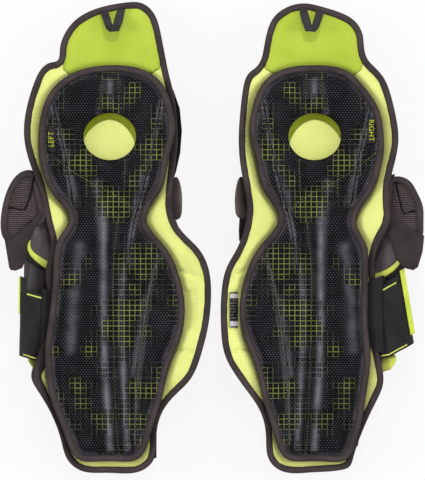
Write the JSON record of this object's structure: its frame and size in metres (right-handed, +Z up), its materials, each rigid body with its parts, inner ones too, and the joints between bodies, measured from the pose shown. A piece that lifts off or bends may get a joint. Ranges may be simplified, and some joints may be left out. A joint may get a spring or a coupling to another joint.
{
  "type": "hockey shin guards",
  "caption": "Pair of ice hockey shin guards with knee cap, ridged shin shell, quilted liner, knee wing and elastic calf strap, lying leg side up.",
  "frame": {"origin": "centre of the bounding box in X and Y, at its lowest height, where the knee caps and shin ridges rest", "axes": "+Z up from the shells to the leg side; +Y from the ankle ends to the thigh flaps; +X to the right guard"},
  "size_m": [0.454, 0.51, 0.078],
  "materials": {
    "lime_mesh": "satin",
    "dark_binding": "matte",
    "liner_fabric": "matte",
    "shell_plastic": "gloss",
    "guard_plastic": "satin",
    "pad_foam": "matte",
    "rivet_metal": "satin",
    "grey_suede": "matte",
    "lime_trim": "satin",
    "black_elastic": "matte",
    "webbing": "matte",
    "wing_mesh": "matte",
    "label_fabric": "satin"
  },
  "bodies": {
    "left_shin": {"left_shin_shell": "shell_plastic", "left_shin_carrier": "lime_mesh", "left_shin_binding": "dark_binding", "left_liner": "liner_fabric", "left_liner_binding": "dark_binding", "left_waist_panel": "lime_mesh", "left_waist_binding": "dark_binding", "left_calf_guard": "guard_plastic", "left_rivets": "rivet_metal", "left_calf_panel": "grey_suede", "left_calf_stripe": "lime_trim", "left_medial_link": "black_elastic"},
    "left_knee": {"left_knee_cap": "shell_plastic", "left_knee_foam": "pad_foam", "left_knee_carrier": "lime_mesh", "left_knee_binding": "dark_binding", "left_medial_tab": "grey_suede", "left_flap_root": "lime_mesh", "left_flap_root_binding": "dark_binding"},
    "left_flap": {"left_top_flap": "lime_mesh", "left_flap_binding": "dark_binding"},
    "left_loop": {"left_pull_loop": "webbing"},
    "left_wing": {"left_wing_pad": "wing_mesh", "left_wing_binding": "dark_binding", "left_wing_strap": "dark_binding"},
    "left_strap": {"left_calf_strap": "black_elastic", "left_strap_piping_upper": "lime_trim", "left_strap_piping_lower": "lime_trim", "left_hook_tab": "lime_trim"},
    "right_shin": {"right_shin_shell": "shell_plastic", "right_shin_carrier": "lime_mesh", "right_shin_binding": "dark_binding", "right_liner": "liner_fabric", "right_liner_binding": "dark_binding", "right_waist_panel": "lime_mesh", "right_waist_binding": "dark_binding", "right_calf_guard": "guard_plastic", "right_rivets": "rivet_metal", "right_calf_panel": "grey_suede", "right_calf_stripe": "lime_trim", "right_medial_link": "black_elastic", "right_calf_label": "label_fabric"},
    "right_knee": {"right_knee_cap": "shell_plastic", "right_knee_foam": "pad_foam", "right_knee_carrier": "lime_mesh", "right_knee_binding": "dark_binding", "right_medial_tab": "grey_suede", "right_flap_root": "lime_mesh", "right_flap_root_binding": "dark_binding"},
    "right_flap": {"right_top_flap": "lime_mesh", "right_flap_binding": "dark_binding"},
    "right_loop": {"right_pull_loop": "webbing"},
    "right_wing": {"right_wing_pad": "wing_mesh", "right_wing_binding": "dark_binding", "right_wing_strap": "dark_binding"},
    "right_strap": {"right_calf_strap": "black_elastic", "right_strap_piping_upper": "lime_trim", "right_strap_piping_lower": "lime_trim", "right_hook_tab": "lime_trim"}
  },
  "joints": [
    {"name": "guards_apart", "type": "slide", "parent": "left_shin", "child": "right_shin", "axis": [1, 0, 0], "range_m": [0, 0.12]},
    {"name": "left_knee_flex", "type": "hinge", "parent": "left_shin", "child": "left_knee", "pos_m": [-0.113, 0.03, 0.02], "axis": [1, 0, 0], "range_deg": [-1.5, 11], "stiffness_Nm_per_rad": 1.5, "deforming": ["left_waist_panel", "left_waist_binding", "left_liner", "left_liner_binding", "left_medial_link"]},
    {"name": "left_flap_flex", "type": "hinge", "parent": "left_knee", "child": "left_flap", "pos_m": [-0.113, 0.1975, 0.03], "axis": [1, 0, 0], "range_deg": [-30, 35], "stiffness_Nm_per_rad": 0.5, "deforming": ["left_flap_root", "left_flap_root_binding"]},
    {"name": "left_loop_swing", "type": "hinge", "parent": "left_flap", "child": "left_loop", "pos_m": [-0.108, 0.247, 0.0305], "axis": [-1, 0, 0], "range_deg": [0, 110]},
    {"name": "left_wing_swing", "type": "hinge", "parent": "left_knee", "child": "left_wing", "pos_m": [-0.1856, 0.036, 0.0595], "axis": [-0.2334, 0.9724, 0], "range_deg": [0, 64], "stiffness_Nm_per_rad": 0.1},
    {"name": "left_strap_swing", "type": "hinge", "parent": "left_shin", "child": "left_strap", "pos_m": [-0.187, -0.095, 0.0485], "axis": [0.168, 0.9858, 0], "range_deg": [0, 60], "stiffness_Nm_per_rad": 0.08},
    {"name": "right_knee_flex", "type": "hinge", "parent": "right_shin", "child": "right_knee", "pos_m": [0.113, 0.03, 0.02], "axis": [1, 0, 0], "range_deg": [-1.5, 11], "stiffness_Nm_per_rad": 1.5, "deforming": ["right_waist_panel", "right_waist_binding", "right_liner", "right_liner_binding", "right_medial_link"]},
    {"name": "right_flap_flex", "type": "hinge", "parent": "right_knee", "child": "right_flap", "pos_m": [0.113, 0.1975, 0.03], "axis": [1, 0, 0], "range_deg": [-30, 35], "stiffness_Nm_per_rad": 0.5, "deforming": ["right_flap_root", "right_flap_root_binding"]},
    {"name": "right_loop_swing", "type": "hinge", "parent": "right_flap", "child": "right_loop", "pos_m": [0.108, 0.247, 0.0305], "axis": [-1, 0, 0], "range_deg": [0, 110]},
    {"name": "right_wing_swing", "type": "hinge", "parent": "right_knee", "child": "right_wing", "pos_m": [0.1856, 0.036, 0.0595], "axis": [-0.2334, -0.9724, 0], "range_deg": [0, 64], "stiffness_Nm_per_rad": 0.1},
    {"name": "right_strap_swing", "type": "hinge", "parent": "right_shin", "child": "right_strap", "pos_m": [0.187, -0.095, 0.0485], "axis": [0.168, -0.9858, 0], "range_deg": [0, 60], "stiffness_Nm_per_rad": 0.08}
  ]
}
